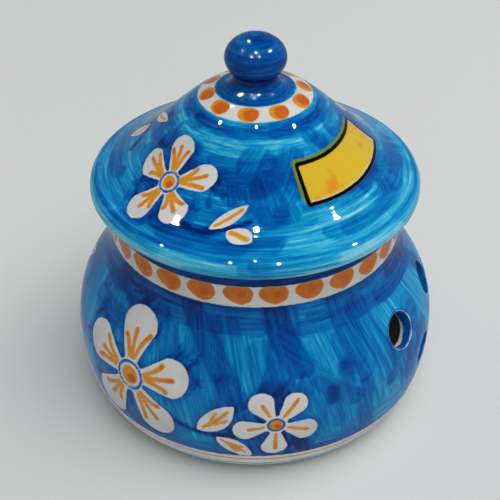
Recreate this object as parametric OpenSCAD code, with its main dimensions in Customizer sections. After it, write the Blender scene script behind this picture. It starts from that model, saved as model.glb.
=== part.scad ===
// Glazed earthenware garlic keeper: a round-bellied jar with vent holes
// and a bell-shaped lid lifted by a ball knob. Millimetres, +Z up.
// The origin is on the table, at the middle of the foot.
// The vents face -Y, which is the front.

/* [Jar] */
// Diameter at the widest part of the belly
belly_d = 160; // [140:1:190]
// Height of the widest part above the table
belly_z = 32; // [26:1:40]
// Height from the table to the lip that carries the lid
jar_h = 98; // [88:1:115]
// Diameter of the foot, where the wall turns under
foot_d = 134; // [110:1:138]
// Outside diameter of the neck
neck_d = 124; // [100:1:134]
// Height of the straight neck below the lip
neck_h = 14; // [12:1:20]
// Thickness of the thrown wall
wall = 6; // [4:0.5:8]
// Height of the inside floor above the table
floor_z = 8; // [6:0.5:12]
// How far the inside corner reaches in over the floor
inside_corner = 18; // [10:1:30]
// Width of the unglazed ring that the jar stands on
foot_ring_w = 7; // [4:0.5:12]
// Depth of the trimmed hollow inside the foot ring
foot_hollow = 2.5; // [1:0.5:4]
// Share of the shoulder's height that the belly holds its width
belly_hold = 0.58; // [0.4:0.01:0.7]
// Share of the shoulder's height that sweeps up into the neck
neck_sweep = 0.38; // [0.2:0.01:0.5]
// Rounding of the two edges of the lip
lip_round = 1.8; // [0.5:0.1:1.9]

/* [Vents] */
// Diameter of each vent, bored square to the wall
vent_d = 15; // [8:0.5:18]
// Height of the upper pair of vents above the belly line
upper_vent_rise = 22; // [18:1:28]
// Drop of the lower vent below the belly line
lower_vent_drop = 2; // [0:0.5:6]
// Angle between the upper pair, seen from above
vent_spread = 30; // [22:1:60]
// Width of the softened edge round each vent
vent_ease = 0.8; // [0.2:0.1:1.5]

/* [Lid] */
// How far the lid's rim stands out past the neck
lid_overhang = 7.5; // [4:0.5:14]
// Height of the lid's crown above the lip
lid_rise = 46.2; // [40:0.1:64]
// Thickness of the rolled rim
rim_t = 10; // [7:0.5:13]
// Slope of the brim where it leaves the rim, in degrees
brim_slope = 22; // [15:1:34]
// Share of the lid's run over which the brim keeps its slope
brim_sweep = 0.45; // [0.3:0.01:0.55]
// Share of the lid's run over which the crown rounds off
crown_sweep = 0.24; // [0.2:0.01:0.4]
// Thickness of the lid's wall
lid_wall = 6.5; // [4:0.5:8]
// Depth of the ring under the lid that drops into the neck
ring_h = 9; // [5:0.5:11]
// Thickness of that ring
ring_t = 5; // [3:0.5:7]
// Clearance round the ring, inside the neck
ring_gap = 1.2; // [0.6:0.1:2.5]
// Bevel on the lower edges of the ring
ring_bevel = 1; // [0.3:0.1:1.4]

/* [Knob] */
// Diameter of the ball
knob_d = 25; // [20:0.5:34]
// Height of the flattened ball
ball_h = 19; // [14:0.5:22]
// Height of the knob above the crown, over all
knob_h = 22.8; // [20:0.1:30]
// Diameter that the flared stem closes in to under the ball
waist_d = 19; // [12:0.5:20]
// Diameter where the knob is joined to the crown
knob_base_d = 30; // [24:0.5:36]
// Angle below the ball's equator where it runs into the waist
ball_blend = 40; // [25:1:50]

/* [Hidden] */
$fn = 96;
curve_steps = 18;
edge_steps = 6;
knob_steps = 12;

belly_r = belly_d / 2;
foot_r = foot_d / 2;
neck_r = neck_d / 2;
mouth_r = neck_r - wall;
neck_z = jar_h - neck_h;
shoulder_h = neck_z - belly_z;
foot_ring_r = foot_r - foot_ring_w;
belly_hold_z = belly_z + belly_hold * shoulder_h;
neck_sweep_z = neck_z - neck_sweep * shoulder_h;
shoulder = [[belly_r, belly_z], [belly_r, belly_hold_z], [neck_r, neck_sweep_z], [neck_r, neck_z]];

vent_r = vent_d / 2;
vent_reach = 2 * wall;

rim_r = rim_t / 2;
rim_mid = [neck_r + lid_overhang - rim_r, jar_h + rim_r];
brim_start = rim_mid + rim_r * [sin(brim_slope), cos(brim_slope)];
crown_z = jar_h + lid_rise;
crown_r = knob_base_d / 2;
lid_run = brim_start[0] - crown_r;
brim_handle = brim_sweep * lid_run * [-1, tan(brim_slope)];
crown_handle = crown_sweep * lid_run * [1, 0];
crown_edge = [crown_r, crown_z];
bell = [brim_start, brim_start + brim_handle, crown_edge + crown_handle, crown_edge];
ring_r = mouth_r - ring_gap;
ring_in_r = ring_r - ring_t;
ring_z = jar_h - ring_h;

ball_r = knob_d / 2;
ball_half = ball_h / 2;
ball_mid = [0, crown_z + knob_h - ball_half];
ball_start = ball_mid + [ball_r * cos(ball_blend), -ball_half * sin(ball_blend)];
ball_run = [ball_r * sin(ball_blend), ball_half * cos(ball_blend)];
waist_flare = 0.14;
waist_z = crown_z + waist_flare * (ball_start[1] - crown_z);
waist_pull = 0.1;
waist = [crown_edge, [waist_d / 2, waist_z], ball_start - waist_pull * ball_run, ball_start];

glaze_blue = [0.10, 0.36, 0.66];
knob_blue = [0.06, 0.26, 0.56];

// Curves in the profile plane: x is the radius, y the height
function bezier(p, t) =
    pow(1 - t, 3) * p[0] + 3 * t * pow(1 - t, 2) * p[1] + 3 * t * t * (1 - t) * p[2] + pow(t, 3) * p[3];
function heading(p, t) =
    pow(1 - t, 2) * (p[1] - p[0]) + 2 * t * (1 - t) * (p[2] - p[1]) + t * t * (p[3] - p[2]);
function left_side(v) = [-v[1], v[0]] / norm(v);
function curve(p, steps) = [for (i = [0 : steps]) bezier(p, i / steps)];
function inside_curve(p, depth, steps) =
    [for (i = [0 : steps]) bezier(p, i / steps) + depth * left_side(heading(p, i / steps))];
function arc(mid, rx, ry, from, to, steps) =
    [for (i = [0 : steps]) let (a = from + (to - from) * i / steps) mid + [rx * cos(a), ry * sin(a)]];
function back(points) = [for (i = [len(points) - 1 : -1 : 0]) points[i]];

// The underside of the bell, and the place on it where the ring's wall meets it
function bell_under(t) = bezier(bell, t) + lid_wall * left_side(heading(bell, t));
function ring_meets(low = 0, high = 1, tries = 24) =
    let (mid = (low + high) / 2)
    tries == 0 ? mid
    : bell_under(mid)[0] > ring_in_r ? ring_meets(mid, high, tries - 1)
    : ring_meets(low, mid, tries - 1);

// Where the outside of the jar is at a given height, and how it leans there
function shoulder_t(z, low = 0, high = 1, tries = 24) =
    let (mid = (low + high) / 2)
    tries == 0 ? mid
    : bezier(shoulder, mid)[1] < z ? shoulder_t(z, mid, high, tries - 1)
    : shoulder_t(z, low, mid, tries - 1);
function bowl_angle(z) = asin((z - belly_z) / belly_z);
function wall_radius(z) =
    z < belly_z ? foot_r + (belly_r - foot_r) * cos(bowl_angle(z)) : bezier(shoulder, shoulder_t(z))[0];
function wall_heading(z) =
    z < belly_z ? [(foot_r - belly_r) * sin(bowl_angle(z)), belly_z * cos(bowl_angle(z))]
    : heading(shoulder, shoulder_t(z));
function wall_lean(z) = let (v = wall_heading(z)) atan2(-v[0], v[1]);

module jar_profile() {
    foot = [[0, foot_hollow], [foot_ring_r - foot_hollow, foot_hollow], [foot_ring_r, 0]];
    bowl = arc([foot_r, belly_z], belly_r - foot_r, belly_z, -90, 0, curve_steps);
    shoulder_in = inside_curve(shoulder, wall, curve_steps);
    lip_out = arc([neck_r - lip_round, jar_h - lip_round], lip_round, lip_round, 0, 90, edge_steps);
    lip_in = arc([mouth_r + lip_round, jar_h - lip_round], lip_round, lip_round, 90, 180, edge_steps);
    bowl_in_mid = [belly_r - wall - inside_corner, belly_z];
    bowl_in = arc(bowl_in_mid, inside_corner, belly_z - floor_z, 0, -90, curve_steps);
    outside = concat(foot, bowl, [for (i = [1 : curve_steps]) curve(shoulder, curve_steps)[i]]);
    inside = concat(back(shoulder_in), [for (i = [1 : curve_steps]) bowl_in[i]]);
    polygon(concat(outside, lip_out, lip_in, inside, [[0, floor_z]]));
}

// A vent cutter, square to the wall, with the glaze-softened edge outside
module vent_cutter(turn, z) {
    rotate([0, 0, turn])
        translate([wall_radius(z), 0, z])
            rotate([0, 90 - wall_lean(z), 0]) {
                translate([0, 0, -vent_reach])
                    cylinder(h = 2 * vent_reach, r = vent_r);
                translate([0, 0, -vent_ease])
                    cylinder(h = 2 * vent_ease, r1 = vent_r, r2 = vent_r + 2 * vent_ease);
            }
}

module jar_body() {
    front = -90;
    color(glaze_blue)
        difference() {
            rotate_extrude()
                jar_profile();
            for (side = [-1, 1])
                vent_cutter(front + side * vent_spread / 2, belly_z + upper_vent_rise);
            vent_cutter(front, belly_z - lower_vent_drop);
        }
}

module lid() {
    ring = [[ring_in_r, ring_z + ring_bevel], [ring_in_r + ring_bevel, ring_z],
            [ring_r - ring_bevel, ring_z], [ring_r, ring_z + ring_bevel], [ring_r, jar_h]];
    rim = arc(rim_mid, rim_r, rim_r, -90, 90 - brim_slope, 2 * edge_steps);
    dome = [for (i = [1 : curve_steps]) curve(bell, curve_steps)[i]];
    start = ring_meets();
    ceiling = [for (i = [0 : curve_steps]) bell_under(1 - (1 - start) * i / curve_steps)];
    color(glaze_blue)
        rotate_extrude()
            polygon(concat([[0, crown_z - lid_wall]], ceiling, ring, rim, dome, [[0, crown_z]]));
}

module knob() {
    stem = curve(waist, knob_steps);
    ball = arc(ball_mid, ball_r, ball_half, -ball_blend, 90, knob_steps);
    color(knob_blue)
        rotate_extrude()
            polygon(concat([[0, crown_z]], stem, [for (i = [1 : knob_steps]) ball[i]]));
}

jar_body();
lid();
knob();
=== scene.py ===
import math

import bpy
import numpy as np
from mathutils import Matrix, Vector


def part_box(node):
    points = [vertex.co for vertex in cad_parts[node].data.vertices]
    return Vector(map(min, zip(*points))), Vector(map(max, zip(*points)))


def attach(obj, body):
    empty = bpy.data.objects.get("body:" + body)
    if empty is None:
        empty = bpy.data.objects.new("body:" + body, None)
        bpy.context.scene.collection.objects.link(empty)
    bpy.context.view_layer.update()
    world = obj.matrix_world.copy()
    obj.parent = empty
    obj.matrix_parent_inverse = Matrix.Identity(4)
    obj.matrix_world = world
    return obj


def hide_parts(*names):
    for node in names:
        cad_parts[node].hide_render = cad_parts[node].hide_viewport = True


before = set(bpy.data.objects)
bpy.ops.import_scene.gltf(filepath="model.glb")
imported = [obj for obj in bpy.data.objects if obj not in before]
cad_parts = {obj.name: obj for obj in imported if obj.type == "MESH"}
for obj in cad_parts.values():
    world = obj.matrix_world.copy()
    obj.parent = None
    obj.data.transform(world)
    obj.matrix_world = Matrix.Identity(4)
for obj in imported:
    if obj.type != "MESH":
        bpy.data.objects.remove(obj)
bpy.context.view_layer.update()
mm = 0.001  # the sizes below are millimetres
jarCorner, lidCorner, knobCorner = [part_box(node)[1] for node in ("jar_body", "lid", "knob")]
lipZ = jarCorner.z / mm
bellyR = jarCorner.x / mm
rimR = lidCorner.x / mm
crownZ = lidCorner.z / mm
ballTop = knobCorner.z / mm
knobBaseR = knobCorner.x / mm
viewTurn = -69.0  # degrees round from the front (-Y) to the photograph's camera
print("frame: lip at", round(lipZ, 1), "crown at", round(crownZ, 1), "knob top at", round(ballTop, 1))


# curves in the profile plane, as (radius, height) points

def bezierPoints(p, count):
    t = np.linspace(0, 1, count + 1)[:, None]
    p = np.array(p, float)
    return (1 - t) ** 3 * p[0] + 3 * t * (1 - t) ** 2 * p[1] + 3 * t * t * (1 - t) * p[2] + t ** 3 * p[3]


def bezierSides(p, count):
    t = np.linspace(0, 1, count + 1)[:, None]
    p = np.array(p, float)
    run = (1 - t) ** 2 * (p[1] - p[0]) + 2 * t * (1 - t) * (p[2] - p[1]) + t * t * (p[3] - p[2])
    run /= np.linalg.norm(run, axis=1)[:, None]
    return np.stack([-run[:, 1], run[:, 0]], 1)


def arcPoints(mid, rx, rz, start, stop, count):
    a = np.radians(np.linspace(start, stop, count + 1))
    return np.stack([mid[0] + rx * np.cos(a), mid[1] + rz * np.sin(a)], 1)


def linePoints(a, b, count):
    return np.linspace(a, b, count + 1)


def joinRuns(*runs):
    # one run of points from several, without the doubled points where they meet
    kept = [runs[0][0]]
    for run in runs:
        for point in run:
            if np.hypot(*(point - kept[-1])) > 1e-4:
                kept.append(point)
    return np.array(kept)


def runLengths(points):
    steps = np.hypot(*np.diff(points, axis=0).T)
    return np.concatenate([[0], np.cumsum(steps)])


# Geometry Nodes helpers

seamGap = 1e-6  # metres; points nearer than this are one point on a turned piece
boreGap = 2e-6  # the same along the edges of the bores


def newTree(name, inputs):
    tree = bpy.data.node_groups.new(name, "GeometryNodeTree")
    tree.interface.new_socket("Geometry", in_out="INPUT", socket_type="NodeSocketGeometry")
    for label, kind in inputs:
        tree.interface.new_socket(label, in_out="INPUT", socket_type=kind)
    tree.interface.new_socket("Geometry", in_out="OUTPUT", socket_type="NodeSocketGeometry")
    return tree


def addNode(tree, kind, links=None, **settings):
    node = tree.nodes.new(kind)
    for key, value in settings.items():
        setattr(node, key, value)
    for key, value in (links or {}).items():
        socket = node.inputs[key]
        if isinstance(value, bpy.types.NodeSocket):
            tree.links.new(value, socket)
        else:
            socket.default_value = value
    return node


def mathNode(tree, operation, *values):
    return addNode(tree, "ShaderNodeMath", dict(enumerate(values)), operation=operation).outputs[0]


def endTree(tree, geometry, glaze):
    # every tree ends smooth, real and glazed
    smooth = addNode(tree, "GeometryNodeSetShadeSmooth", {"Geometry": geometry})
    real = addNode(tree, "GeometryNodeRealizeInstances", {"Geometry": smooth.outputs[0]})
    done = addNode(tree, "GeometryNodeSetMaterial", {"Geometry": real.outputs[0], "Material": glaze})
    addNode(tree, "NodeGroupOutput", {"Geometry": done.outputs[0]})
    return tree


def runTree(obj, tree, values):
    modifier = obj.modifiers.new("shape", "NODES")
    modifier.node_group = tree
    for item in tree.interface.items_tree:
        if item.in_out == "INPUT" and item.name in values:
            modifier[item.identifier] = values[item.name]
    graph = bpy.context.evaluated_depsgraph_get()
    mesh = bpy.data.meshes.new_from_object(obj.evaluated_get(graph))
    obj.modifiers.remove(modifier)
    old = obj.data
    obj.data = mesh
    bpy.data.meshes.remove(old)
    mesh.name = obj.name
    return obj


def newObject(name, points, edges=(), faces=()):
    mesh = bpy.data.meshes.new(name)
    mesh.from_pydata([tuple(p) for p in points], list(edges), list(faces))
    obj = bpy.data.objects.new(name, mesh)
    bpy.context.scene.collection.objects.link(obj)
    return obj


def wheelTree():
    # turns a wire profile round Z, as on a potter's wheel
    tree = newTree("turnOnWheel", [("Segments", "NodeSocketInt"), ("Waver", "NodeSocketFloat"),
                                   ("Waver Size", "NodeSocketFloat"), ("Seed", "NodeSocketFloat"),
                                   ("Glaze", "NodeSocketMaterial")])
    given = addNode(tree, "NodeGroupInput").outputs
    profile = given["Geometry"]
    rows = addNode(tree, "GeometryNodeAttributeDomainSize", {"Geometry": profile}).outputs["Point Count"]
    columns = mathNode(tree, "ADD", given["Segments"], 1.0)
    grid = addNode(tree, "GeometryNodeMeshGrid", {"Vertices X": columns, "Vertices Y": rows})
    index = addNode(tree, "GeometryNodeInputIndex").outputs[0]
    row = mathNode(tree, "MODULO", index, rows)
    column = mathNode(tree, "FLOOR", mathNode(tree, "DIVIDE", index, rows))
    share = mathNode(tree, "DIVIDE", column, given["Segments"])
    turn = mathNode(tree, "MULTIPLY", share, 2 * math.pi)
    place = addNode(tree, "GeometryNodeInputPosition").outputs[0]
    point = addNode(tree, "GeometryNodeSampleIndex", {"Geometry": profile, "Index": row},
                    data_type="FLOAT_VECTOR")
    tree.links.new(place, point.inputs["Value"])
    around = addNode(tree, "ShaderNodeVectorRotate", {"Vector": point.outputs[0], "Angle": turn},
                     rotation_type="Z_AXIS")
    turned = addNode(tree, "GeometryNodeSetPosition",
                     {"Geometry": grid.outputs["Mesh"], "Position": around.outputs[0]})
    closed = addNode(tree, "GeometryNodeMergeByDistance",
                     {"Geometry": turned.outputs[0], "Distance": seamGap})
    noise = addNode(tree, "ShaderNodeTexNoise",
                    {"Vector": place, "W": given["Seed"], "Scale": given["Waver Size"], "Detail": 1.0},
                    noise_dimensions="4D")
    swing = mathNode(tree, "MULTIPLY", mathNode(tree, "SUBTRACT", noise.outputs[0], 0.5), given["Waver"])
    normal = addNode(tree, "GeometryNodeInputNormal").outputs[0]
    push = addNode(tree, "ShaderNodeVectorMath", {0: normal}, operation="SCALE")
    tree.links.new(swing, push.inputs["Scale"])
    waved = addNode(tree, "GeometryNodeSetPosition",
                    {"Geometry": closed.outputs[0], "Offset": push.outputs[0]})
    return endTree(tree, waved.outputs[0], given["Glaze"])


def ventTree():
    # bores a hole square to the wall at each point of the vent layout
    tree = newTree("boreVents", [("Layout", "NodeSocketObject"), ("Cutter", "NodeSocketObject"),
                                 ("Glaze", "NodeSocketMaterial")])
    given = addNode(tree, "NodeGroupInput").outputs
    layout = addNode(tree, "GeometryNodeObjectInfo", {"Object": given["Layout"]}).outputs["Geometry"]
    cutter = addNode(tree, "GeometryNodeObjectInfo", {"Object": given["Cutter"]}).outputs["Geometry"]
    aim = addNode(tree, "GeometryNodeInputNamedAttribute", {"Name": "aim"}, data_type="FLOAT_VECTOR")
    each = addNode(tree, "GeometryNodeInstanceOnPoints",
                   {"Points": layout, "Instance": cutter, "Rotation": aim.outputs[0]})
    tools = addNode(tree, "GeometryNodeRealizeInstances", {"Geometry": each.outputs[0]})
    bored = addNode(tree, "GeometryNodeMeshBoolean", operation="DIFFERENCE", solver="MANIFOLD")
    tree.links.new(given["Geometry"], bored.inputs["Mesh 1"])
    tree.links.new(tools.outputs[0], bored.inputs["Mesh 2"])
    closed = addNode(tree, "GeometryNodeMergeByDistance",
                     {"Geometry": bored.outputs["Mesh"], "Distance": boreGap})
    return endTree(tree, closed.outputs[0], given["Glaze"])


onWheel = wheelTree()
boreVents = ventTree()


def turnPiece(name, profile, spec, glaze):
    wire = [(0, -r * mm, z * mm) for r, z in profile]
    obj = newObject(name, wire, [(i, i + 1) for i in range(len(wire) - 1)])
    return runTree(obj, onWheel, {"Segments": spec["segments"], "Waver": spec["waver"] * mm,
                                  "Waver Size": spec["waverSize"], "Seed": spec["seed"], "Glaze": glaze})


# jar: profile, vents

jar = {
    "bellyZ": 32.0, "footR": 67.0, "neckR": 62.0, "neckH": 14.0, "wall": 6.0, "floorZ": 8.0,
    "insideCorner": 18.0, "footRing": 7.0, "footHollow": 2.5, "bellyHold": 0.58, "neckSweep": 0.38,
    "lipRound": 1.8, "segments": 480, "waver": 0.35, "waverSize": 28.0, "seed": 3.0,
    "bowlSteps": 40, "shoulderSteps": 61, "neckSteps": 12, "lipSteps": 5,  # points along the profile
    "mouthSteps": 5, "innerSteps": 18, "cornerSteps": 14, "floorSteps": 6, "hollowSteps": 3, "ringSteps": 4,
}
vents = {
    "bore": 15.0, "spread": 30.0, "upperRise": 22.0, "lowerDrop": 2.0, "edge": 1.3, "innerEdge": 0.8,
    "acrossCurve": 82.0, "upCurve": 60.0,  # the wall's two radii where the vents are
    "reach": 3.0, "skirt": 1.5, "collar": 0.5, "lastAngle": 80.0,
    "sides": 96, "edgeSteps": 7, "boreRows": 3,
}


def jarRuns():
    j = jar
    neckZ = lipZ - j["neckH"]
    rise = neckZ - j["bellyZ"]
    shoulder = [(bellyR, j["bellyZ"]), (bellyR, j["bellyZ"] + j["bellyHold"] * rise),
                (j["neckR"], neckZ - j["neckSweep"] * rise), (j["neckR"], neckZ)]
    mouthR = j["neckR"] - j["wall"]
    lip = j["lipRound"]
    ringR = j["footR"] - j["footRing"]
    hollowR = ringR - j["footHollow"]
    hollow = linePoints((0, j["footHollow"]), (hollowR, j["footHollow"]), j["floorSteps"])
    slope = linePoints((hollowR, j["footHollow"]), (ringR, 0), j["hollowSteps"])
    ring = linePoints((ringR, 0), (j["footR"], 0), j["ringSteps"])
    bowl = arcPoints((j["footR"], j["bellyZ"]), bellyR - j["footR"], j["bellyZ"], -90, 0, j["bowlSteps"])
    up = bezierPoints(shoulder, j["shoulderSteps"])
    neck = linePoints((j["neckR"], neckZ), (j["neckR"], lipZ - lip), j["neckSteps"])
    lipOut = arcPoints((j["neckR"] - lip, lipZ - lip), lip, lip, 0, 90, j["lipSteps"])
    lipIn = arcPoints((mouthR + lip, lipZ - lip), lip, lip, 90, 180, j["lipSteps"])
    mouth = linePoints((mouthR, lipZ - lip), (mouthR, neckZ), j["mouthSteps"])
    inner = bezierPoints(shoulder, j["innerSteps"]) + j["wall"] * bezierSides(shoulder, j["innerSteps"])
    cornerMid = (bellyR - j["wall"] - j["insideCorner"], j["bellyZ"])
    corner = arcPoints(cornerMid, j["insideCorner"], j["bellyZ"] - j["floorZ"], 0, -90, j["cornerSteps"])
    floor = linePoints(corner[-1], (0, j["floorZ"]), j["floorSteps"])
    under = joinRuns(hollow, slope, ring)
    outside = joinRuns(bowl, up, neck, lipOut)
    inside = joinRuns(lipIn, mouth, inner[::-1], corner, floor)
    return under, outside, inside


def wallAt(outside, z):
    # the wall's radius at a height, and how far it leans back there
    k = int(np.argmin(np.abs(outside[:, 1] - z)))
    run = outside[k + 1] - outside[k - 1]
    return outside[k, 0], math.atan2(-run[0], run[1])


def ventLayout(outside):
    v = vents
    upperZ = jar["bellyZ"] + v["upperRise"]
    lowerZ = jar["bellyZ"] - v["lowerDrop"]
    places, aims, axes = [], [], []
    for turn, z in ((-v["spread"] / 2, upperZ), (v["spread"] / 2, upperZ), (0.0, lowerZ)):
        radius, lean = wallAt(outside, z)
        a = math.radians(turn)
        out = Vector((math.sin(a) * math.cos(lean), -math.cos(a) * math.cos(lean), math.sin(lean)))
        side = Vector((math.cos(a), math.sin(a), 0))
        up = out.cross(side)
        place = Vector((math.sin(a) * radius, -math.cos(a) * radius, z)) * mm
        places.append(place)
        aims.append(Matrix((side, up, out)).transposed().to_euler())
        axes.append((place, out))
    layout = newObject("ventLayout", places)
    spin = layout.data.attributes.new("aim", "FLOAT_VECTOR", "POINT")
    spin.data.foreach_set("vector", [x for aim in aims for x in aim])
    return layout, axes


def ventCutter():
    # a plug whose flared ends ease the mouth of the bore, following the wall's two curves
    v = vents
    bore, wall = v["bore"] / 2, jar["wall"]
    psi = np.radians(np.linspace(v["lastAngle"], 0, v["edgeSteps"]))
    slope = math.tan(math.radians(90 - v["lastAngle"]))

    def lipRows(edge):
        rho = bore + edge - edge * np.cos(psi)
        depth = -edge + edge * np.sin(psi)
        skirtRho, skirtDepth = rho[0] + v["skirt"], depth[0] + v["skirt"] * slope
        return np.concatenate([[skirtRho], rho]), np.concatenate([[skirtDepth], depth])

    outRho, outH = lipRows(v["edge"])
    inRho, inH = lipRows(v["innerEdge"])
    outEnd, inEnd = outRho[0] + v["collar"], inRho[0] + v["collar"]
    rho = np.concatenate([[outEnd], outRho, [bore] * v["boreRows"], inRho[::-1], [inEnd]])
    mid = np.linspace(outH[-1], -wall - inH[-1], v["boreRows"] + 2)[1:-1]
    lowest = -wall - v["reach"]
    height = np.concatenate([[v["reach"]], outH, mid, -wall - inH[::-1], [lowest]])
    theta = np.linspace(0, 2 * math.pi, v["sides"], endpoint=False)
    points = []
    for r, h in zip(rho, height):
        fall = r * r / 2 * (np.cos(theta) ** 2 / v["acrossCurve"] + np.sin(theta) ** 2 / v["upCurve"])
        fall = np.where(h > lowest, fall, 0)  # the end inside the jar is flat
        points += [(r * math.cos(a) * mm, r * math.sin(a) * mm, (h - f) * mm) for a, f in zip(theta, fall)]
    n, rows = v["sides"], len(rho)
    faces = [(k * n + i, (k + 1) * n + i, (k + 1) * n + (i + 1) % n, k * n + (i + 1) % n)
             for k in range(rows - 1) for i in range(n)]
    faces += [tuple(range(n)), tuple(range((rows - 1) * n, rows * n))[::-1]]
    return newObject("ventCutter", points, faces=faces)


# lid: profile

lid = {
    "rimT": 10.0, "brimSlope": 22.0, "brimSweep": 0.45, "crownSweep": 0.24, "wall": 6.5,
    "ringH": 9.0, "ringT": 5.0, "ringGap": 1.2, "ringBevel": 1.0, "ceilingClear": 0.2,
    "segments": 440, "waver": 0.35, "waverSize": 30.0, "seed": 9.0,
    "rimSteps": 18, "domeSteps": 82, "crownSteps": 8,  # points along the profile
    "ceilingSteps": 60, "ceilingSkip": 3, "apexSteps": 4, "ringSteps": 6, "bevelSteps": 3,
}


def lidRuns():
    d = lid
    half = d["rimT"] / 2
    rimMid = np.array([rimR - half, lipZ + half])
    slope = math.radians(d["brimSlope"])
    start = rimMid + half * np.array([math.sin(slope), math.cos(slope)])
    run = start[0] - knobBaseR
    bell = [start, start + d["brimSweep"] * run * np.array([-1, math.tan(slope)]),
            (knobBaseR + d["crownSweep"] * run, crownZ), (knobBaseR, crownZ)]
    ringR = jar["neckR"] - jar["wall"] - d["ringGap"]
    ringIn = ringR - d["ringT"]
    ringZ = lipZ - d["ringH"]
    bevel = d["ringBevel"]
    under = bezierPoints(bell, d["ceilingSteps"]) + d["wall"] * bezierSides(bell, d["ceilingSteps"])
    ceiling = under[under[:, 0] < ringIn - d["ceilingClear"]][::d["ceilingSkip"]][::-1]
    rim = arcPoints(rimMid, half, half, -90, 90 - d["brimSlope"], d["rimSteps"])
    dome = bezierPoints(bell, d["domeSteps"])
    crown = linePoints((knobBaseR, crownZ), (0, crownZ), d["crownSteps"])
    apex = linePoints((0, crownZ - d["wall"]), ceiling[0], d["apexSteps"])
    ringInner = linePoints((ringIn, ceiling[-1][1]), (ringIn, ringZ + bevel), d["ringSteps"])
    ringFoot = linePoints((ringIn + bevel, ringZ), (ringR - bevel, ringZ), d["bevelSteps"])
    ringOuter = linePoints((ringR, ringZ + bevel), (ringR, lipZ), d["ringSteps"])
    seat = linePoints((ringR, lipZ), (rimMid[0], lipZ), d["ringSteps"])
    return joinRuns(rim, dome, crown), joinRuns(apex, ceiling, ringInner, ringFoot, ringOuter, seat)


# knob: profile

knob = {
    "ballR": 12.5, "ballH": 19.0, "waistR": 9.5, "flare": 0.14, "blend": 40.0, "pull": 0.1,
    "segments": 180, "waver": 0.3, "waverSize": 60.0, "seed": 5.0,
    "baseSteps": 4, "waistSteps": 28, "ballSteps": 48,  # points along the profile
}


def knobRuns():
    k = knob
    half = k["ballH"] / 2
    mid = np.array([0, ballTop - half])
    a = math.radians(k["blend"])
    start = mid + np.array([k["ballR"] * math.cos(a), -half * math.sin(a)])
    run = np.array([k["ballR"] * math.sin(a), half * math.cos(a)])
    waist = [(knobBaseR, crownZ), (k["waistR"], crownZ + k["flare"] * (start[1] - crownZ)),
             start - k["pull"] * run, start]
    base = linePoints((0, crownZ), (knobBaseR, crownZ), k["baseSteps"])
    ball = arcPoints(mid, k["ballR"], half, -k["blend"], 90, k["ballSteps"])
    return joinRuns(base, bezierPoints(waist, k["waistSteps"]), ball)


# painting: gaps in millimetres from the edge of each painted mark, kept on the points of a piece

marks = ("white", "ochre", "rich", "label", "gold", "dash", "clay")
farOff = 30.0  # the gap where a mark is nowhere near
wellIn = -5.0  # the gap well inside a mark
laneAngles = (0.0, 52.0, 104.0, 142.0)  # the ways that streaks of the brush can run, in degrees
laneStretch = 0.07  # how much a streak's pattern is drawn out along the stroke
roundLane, uprightLane = 0, 2  # places of two of those angles in the list
mapRows = {  # the flat layout, as shares of its height
    "low": 0.005, "tall": 0.365, "step": 0.375, "inLow": 0.765, "inTall": 0.23, "margin": 0.004,
}


def ease(low, high, x):
    t = np.clip((x - low) / (high - low), 0, 1)
    return t * t * (3 - 2 * t)


def wrapTurn(turn):
    return (turn + 180) % 360 - 180


def nearestRun(points, r, z):
    lengths = runLengths(points)
    best = np.full(len(r), 1e9)
    run = np.zeros(len(r))
    for k in range(len(points) - 1):
        a = points[k]
        d = points[k + 1] - a
        t = np.clip(((r - a[0]) * d[0] + (z - a[1]) * d[1]) / (d @ d), 0, 1)
        gap = np.hypot(r - a[0] - t * d[0], z - a[1] - t * d[1])
        near = gap < best
        best[near] = gap[near]
        run[near] = (lengths[k] + t * np.hypot(*d))[near]
    return best, run


def runAt(points, axis, value):
    # how far along a profile it reaches a given radius (axis 0) or height (axis 1)
    lengths = runLengths(points)
    k = np.flatnonzero(np.diff(np.sign(points[:, axis] - value)))[-1]
    t = (value - points[k, axis]) / (points[k + 1, axis] - points[k, axis])
    return lengths[k] * (1 - t) + lengths[k + 1] * t


def newSheet(obj, outside, inside):
    count = len(obj.data.vertices)
    flat = np.empty(count * 3)
    obj.data.vertices.foreach_get("co", flat)
    place = flat.reshape(-1, 3) / mm
    r = np.hypot(place[:, 0], place[:, 1])
    gapOut, run = nearestRun(outside, r, place[:, 2])
    gapIn, runIn = nearestRun(inside, r, place[:, 2])
    around = np.arctan2(place[:, 0], -place[:, 1])
    sheet = {
        "obj": obj, "place": place, "r": r, "z": place[:, 2], "run": run, "runIn": runIn,
        "offWall": gapOut, "outer": gapOut <= gapIn, "bored": np.zeros(count, bool),
        "around": around, "turn": np.degrees(around) - viewTurn,
        "mapTurn": around.copy(), "mapRun": run.copy(),
        "outLong": runLengths(outside)[-1], "inLong": runLengths(inside)[-1],
        "wash": np.zeros(count), "flow": np.zeros((count, len(laneAngles))),
    }
    for mark in marks:
        sheet[mark] = np.full(count, farOff)
    sheet["flow"][:, roundLane] = 1
    return sheet


def spread(sheet, turn, run):
    # places round a point of the wall, as millimetres to the right and up
    return np.radians(wrapTurn(sheet["turn"] - turn)) * sheet["r"], sheet["run"] - run


def keepNearest(sheet, mark, gap):
    sheet[mark] = np.minimum(sheet[mark], gap)


def ovalGap(x, y, a, b, tilt=0.0):
    c, s = math.cos(tilt), math.sin(tilt)
    p, q = x * c + y * s, y * c - x * s
    inner = np.hypot(p / a, q / b)
    outer = np.hypot(p / (a * a), q / (b * b))
    return inner * (inner - 1) / np.maximum(outer, 1e-6)


def boxGap(x, y, halfX, halfY, corner):
    dx, dy = np.abs(x) - halfX + corner, np.abs(y) - halfY + corner
    return np.minimum(np.maximum(dx, dy), 0) + np.hypot(np.maximum(dx, 0), np.maximum(dy, 0)) - corner


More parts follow.
